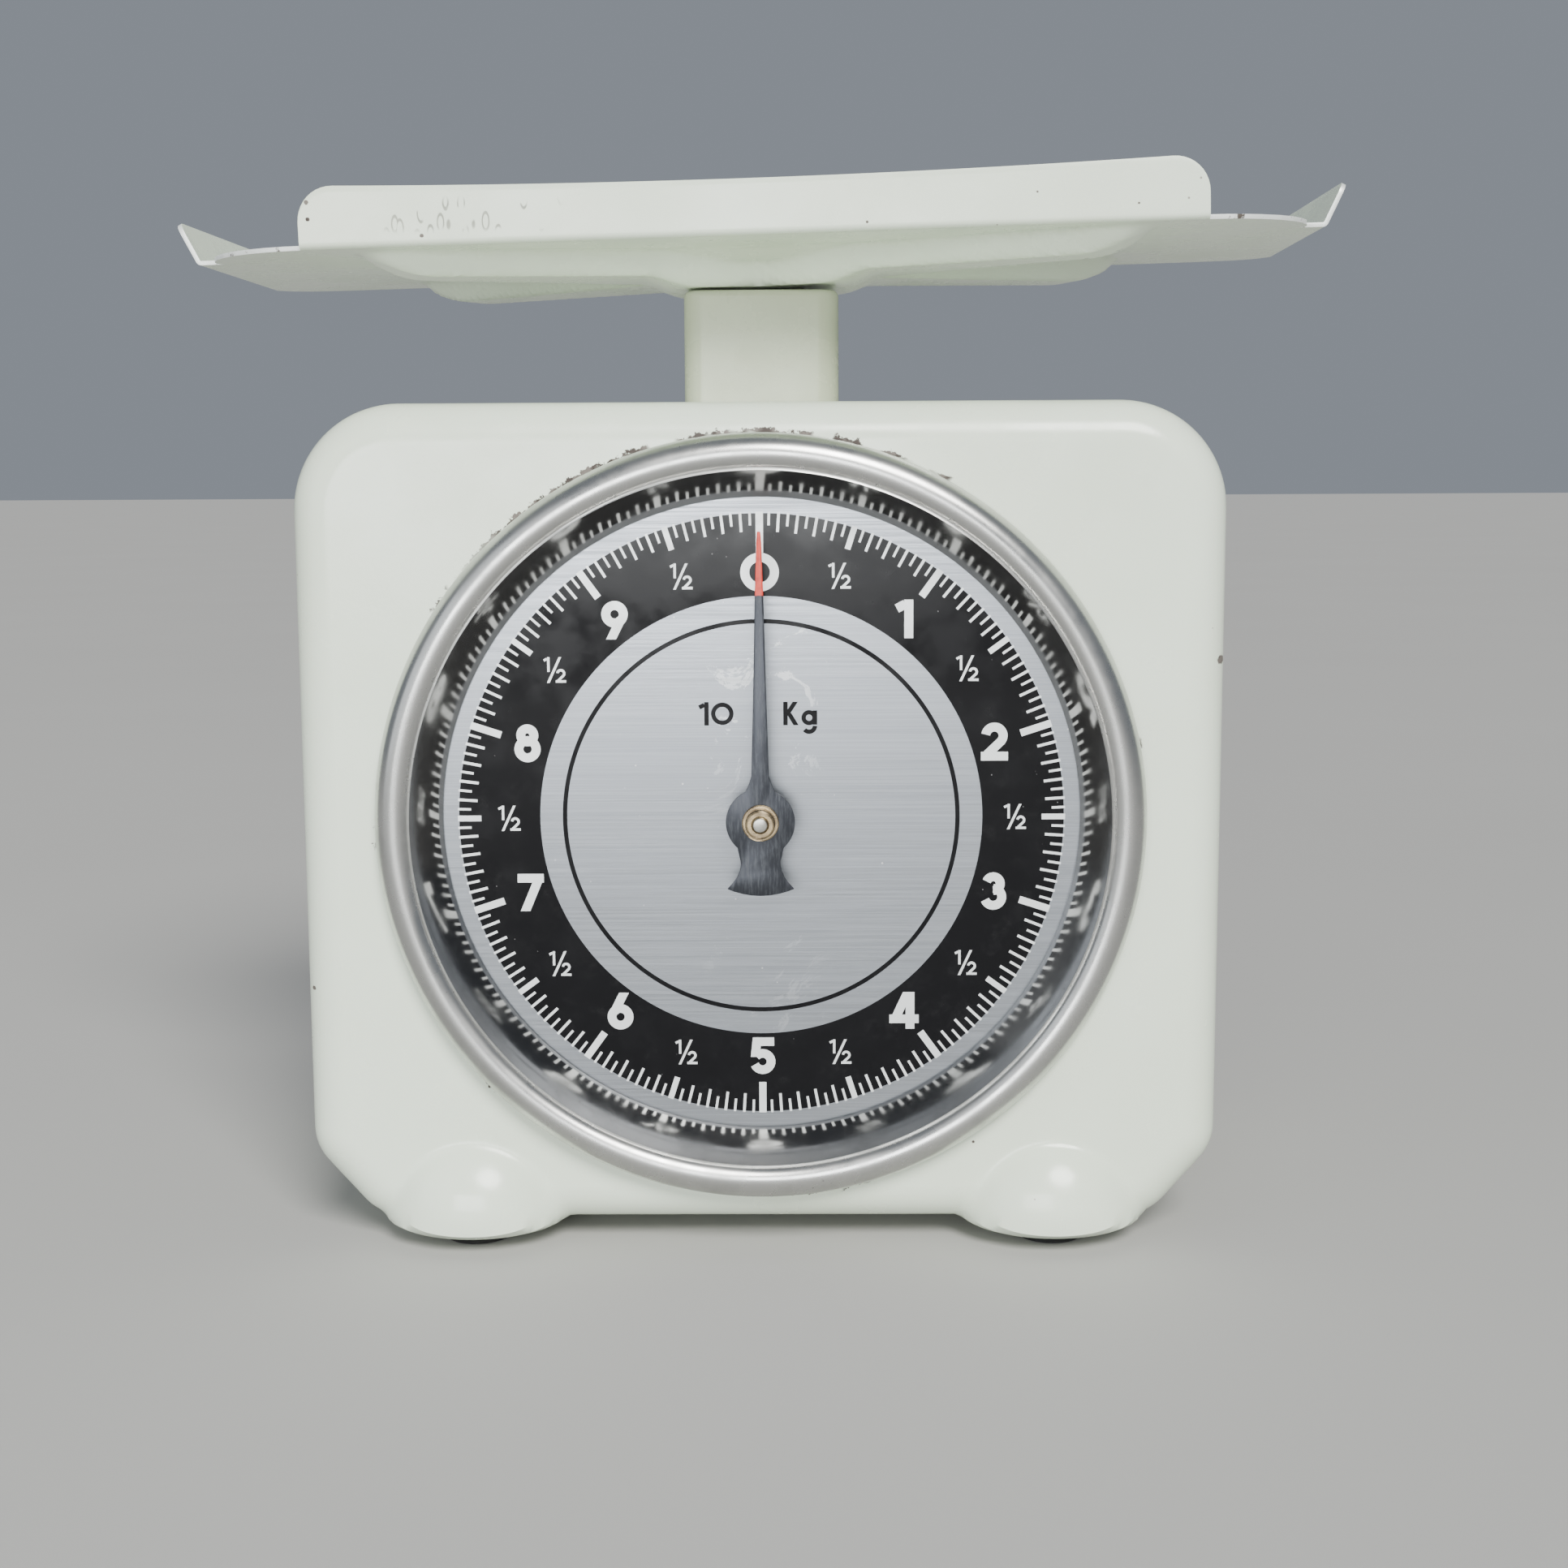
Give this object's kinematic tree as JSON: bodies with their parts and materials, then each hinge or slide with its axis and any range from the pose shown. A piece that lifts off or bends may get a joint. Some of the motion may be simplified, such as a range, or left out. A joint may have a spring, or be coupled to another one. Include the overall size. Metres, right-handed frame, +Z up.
{
  "type": "counter-top dial spring scale",
  "caption": "Spring scale with a round dial, an enamelled sheet-steel case on rubber feet and a folded sheet-metal weighing tray carried on a square post.",
  "frame": {"origin": "centre of the bounding box in X and Y, on the surface that the feet stand on", "axes": "+X to the right of the dial as it is read, +Y from the dial towards the back, +Z up"},
  "size_m": [0.2711, 0.124, 0.2436],
  "materials": {
    "cream_enamel": "baked cream enamel with a green tint, satin gloss, chipped at the edges",
    "post_enamel": "grey-green enamel, satin",
    "polished_aluminium": "spun and polished",
    "dial_aluminium": "brushed, printed with a black ring",
    "blued_steel": "blued, its tip painted red",
    "brass": "turned, dulled",
    "plated_steel": "zinc plated",
    "spring_steel": "oiled spring wire",
    "black_rubber": "matte",
    "knob_plastic": "moulded black plastic"
  },
  "bodies": {
    "case": {"back_cover": "cream_enamel", "bezel": "polished_aluminium", "bridge_screw_1": "plated_steel", "bridge_screw_2": "plated_steel", "bridge_screw_3": "plated_steel", "bridge_screw_4": "plated_steel", "chassis": "plated_steel", "cover_screw_lower_left": "plated_steel", "cover_screw_lower_right": "plated_steel", "cover_screw_upper_left": "plated_steel", "cover_screw_upper_right": "plated_steel", "dial_pillar_left": "brass", "dial_pillar_right": "brass", "dial_plate": "dial_aluminium", "floor_screw_1": "plated_steel", "floor_screw_2": "plated_steel", "foot_front_left": "black_rubber", "foot_front_right": "black_rubber", "foot_rear_left": "black_rubber", "foot_rear_right": "black_rubber", "front_bearing_plate": "plated_steel", "front_bearing_screw_1": "plated_steel", "front_bearing_screw_2": "plated_steel", "front_bush": "brass", "housing": "cream_enamel", "lower_lever_pivot": "plated_steel", "main_spring_left": "spring_steel", "main_spring_right": "spring_steel", "overload_stop": "black_rubber", "rear_bearing_plate": "plated_steel", "rear_bearing_screw_1": "plated_steel", "rear_bearing_screw_2": "plated_steel", "rear_bush": "brass", "top_bridge": "plated_steel", "upper_lever_pivot": "plated_steel"},
    "load": {"post": "post_enamel", "post_rivet_left": "plated_steel", "post_rivet_right": "plated_steel", "carriage": "plated_steel", "upper_carriage_pin": "plated_steel", "lower_carriage_pin": "plated_steel", "rack": "plated_steel", "rack_pin": "plated_steel", "rack_spring": "spring_steel"},
    "pointer": {"pointer": "blued_steel", "pointer_boss": "brass", "pointer_washer": "brass", "pointer_nut": "brass", "pointer_shaft": "plated_steel", "pinion": "brass"},
    "upper_lever": {"upper_lever": "plated_steel"},
    "lower_lever": {"lower_lever": "plated_steel"},
    "tray": {"tray": "cream_enamel", "tray_seat": "plated_steel", "tray_rivet": "plated_steel"},
    "zero_rod": {"zero_rod": "plated_steel", "spring_yoke": "plated_steel"},
    "zero_knob": {"zero_knob": "knob_plastic"}
  },
  "joints": [
    {"name": "load_slide", "type": "slide", "parent": "case", "child": "load", "axis": [0, 0, -1], "range_m": [-0.001, 0.022], "stiffness_N_per_m": 4461, "springref_m": -0.001, "deforming": ["main_spring_left", "main_spring_right"]},
    {"name": "pointer_spin", "type": "hinge", "parent": "case", "child": "pointer", "pos_m": [0, 0, 0.0985], "axis": [0, 1, 0], "range_deg": [-16.5, 360.3]},
    {"name": "upper_lever_swing", "type": "hinge", "parent": "case", "child": "upper_lever", "pos_m": [0, -0.028, 0.135], "axis": [-1, 0, 0], "range_deg": [-1.8, 38]},
    {"name": "lower_lever_swing", "type": "hinge", "parent": "case", "child": "lower_lever", "pos_m": [0, -0.028, 0.055], "axis": [-1, 0, 0], "range_deg": [-1.8, 38]},
    {"name": "tray_lift", "type": "slide", "parent": "load", "child": "tray", "axis": [0, 0, 1], "range_m": [0, 0.05]},
    {"name": "zero_rod_slide", "type": "slide", "parent": "case", "child": "zero_rod", "axis": [0, 0, 1], "range_m": [-0.0015, 0.0015]},
    {"name": "zero_knob_turn", "type": "hinge", "parent": "case", "child": "zero_knob", "pos_m": [0, 0.034, 0.1914], "axis": [0, 0, 1], "range_deg": [-541, 541]}
  ],
  "couplings": [
    {"joint": "pointer_spin", "follows": "load_slide", "rad_per_m": 285.71},
    {"joint": "upper_lever_swing", "follows": "load_slide", "rad_per_m": 30.1},
    {"joint": "lower_lever_swing", "follows": "load_slide", "rad_per_m": 30.1},
    {"joint": "zero_knob_turn", "follows": "zero_rod_slide", "rad_per_m": 6283.2}
  ]
}
